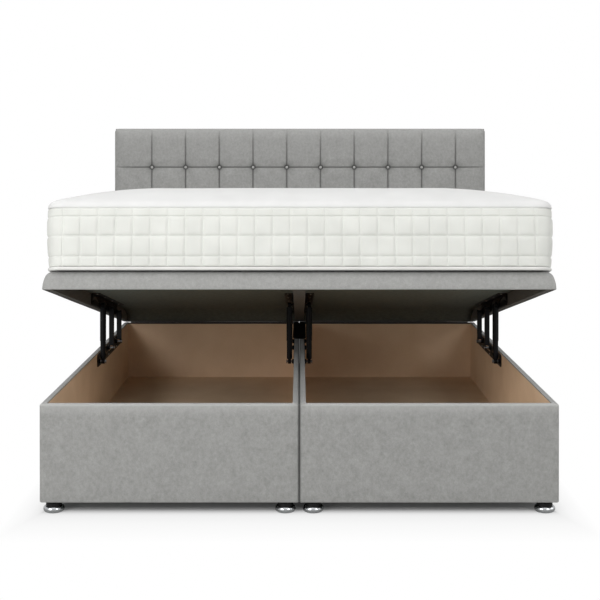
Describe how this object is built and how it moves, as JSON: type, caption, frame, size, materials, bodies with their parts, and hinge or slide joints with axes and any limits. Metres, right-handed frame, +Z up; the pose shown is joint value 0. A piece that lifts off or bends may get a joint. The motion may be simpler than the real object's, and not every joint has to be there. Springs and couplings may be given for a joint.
{
  "type": "ottoman bed",
  "caption": "Upholstered storage bed in two half bases with a lid that lifts at the foot, quilted mattress and tufted headboard on struts.",
  "frame": {"origin": "centre of the whole bed on the floor", "axes": "+Z up, +Y from the foot to the headboard, +X to the right of a person who stands at the foot and looks at the headboard"},
  "size_m": [1.945, 2.168, 1.403],
  "materials": {
    "divan_fabric": "matte",
    "headboard_fabric": "matte",
    "button_fabric": "matte",
    "hardboard": "matte",
    "timber": "matte",
    "stained_timber": "matte",
    "board_back": "matte",
    "dust_cloth": "matte",
    "chrome": "polished",
    "black_plastic": "matte",
    "zinc_steel": "satin",
    "black_steel": "satin",
    "shroud_steel": "satin",
    "bright_pin": "gloss",
    "mattress_border_cloth": "matte",
    "mattress_top_cloth": "matte",
    "mattress_foam": "matte",
    "mattress_tape": "matte"
  },
  "bodies": {
    "base": {"base_hinge_leaves": "black_steel", "bridge_plate": "black_steel", "glide_bowls": "chrome", "glide_sockets": "black_plastic", "headboard_board": "board_back", "headboard_bolts": "zinc_steel", "headboard_buttons": "button_fabric", "headboard_packers": "timber", "headboard_pad": "headboard_fabric", "headboard_struts": "timber", "hinge_pins": "black_steel", "left_base_cover": "divan_fabric", "left_dust_cover": "dust_cloth", "left_floor_bearers": "timber", "left_floor_board": "hardboard", "left_foot_panel": "hardboard", "left_head_panel": "hardboard", "left_inner_base_plate": "black_steel", "left_inner_side_panel": "hardboard", "left_outer_base_plate": "black_steel", "left_outer_side_panel": "hardboard", "link_plates": "zinc_steel", "pivot_pins": "bright_pin", "right_base_cover": "divan_fabric", "right_dust_cover": "dust_cloth", "right_floor_bearers": "timber", "right_floor_board": "hardboard", "right_foot_panel": "hardboard", "right_head_panel": "hardboard", "right_inner_base_plate": "black_steel", "right_inner_side_panel": "hardboard", "right_outer_base_plate": "black_steel", "right_outer_side_panel": "hardboard"},
    "lid": {"left_inner_lid_bracket": "black_steel", "left_lid_side_rail": "stained_timber", "left_outer_lid_bracket": "black_steel", "left_platform_board": "timber", "lid_centre_rail": "stained_timber", "lid_cover": "divan_fabric", "lid_front_rail": "stained_timber", "lid_hinge_leaves": "black_steel", "lid_lining": "dust_cloth", "lid_rear_rail": "stained_timber", "mattress_border": "mattress_border_cloth", "mattress_core": "mattress_foam", "mattress_piping": "mattress_tape", "mattress_top": "mattress_top_cloth", "right_inner_lid_bracket": "black_steel", "right_lid_side_rail": "stained_timber", "right_outer_lid_bracket": "black_steel", "right_platform_board": "timber"},
    "strut_cylinders": {"strut_cylinders": "black_steel"},
    "strut_rods": {"strut_rods": "shroud_steel", "strut_top_pins": "bright_pin"},
    "middle_arms": {"middle_arms": "black_steel", "middle_arm_pins": "bright_pin"},
    "rear_arms": {"rear_arms": "black_steel", "rear_arm_pins": "bright_pin"}
  },
  "joints": [
    {"name": "lid_hinge", "type": "hinge", "parent": "base", "child": "lid", "pos_m": [0, 0.9525, 0.38975], "axis": [-1, 0, 0], "range_deg": [-11.3, 0]},
    {"name": "strut_swing", "type": "hinge", "parent": "base", "child": "strut_cylinders", "pos_m": [0, 0.006, 0.349], "axis": [-1, 0, 0], "range_deg": [-72.1, 0]},
    {"name": "strut_slide", "type": "slide", "parent": "strut_cylinders", "child": "strut_rods", "axis": [0, 0, 1], "range_m": [-0.0362, 0]},
    {"name": "middle_arm_swing", "type": "hinge", "parent": "base", "child": "middle_arms", "pos_m": [0, 0.246, 0.371], "axis": [-1, 0, 0], "range_deg": [-75.9, 0]},
    {"name": "rear_arm_swing", "type": "hinge", "parent": "base", "child": "rear_arms", "pos_m": [0, 0.476, 0.364], "axis": [-1, 0, 0], "range_deg": [-68.9, 0]}
  ],
  "couplings": [
    {"joint": "strut_swing", "follows": "lid_hinge", "ratio": 6.3702},
    {"joint": "strut_slide", "follows": "lid_hinge", "m_per_rad": 0.18274},
    {"joint": "middle_arm_swing", "follows": "lid_hinge", "ratio": 6.7057},
    {"joint": "rear_arm_swing", "follows": "lid_hinge", "ratio": 6.0845}
  ]
}
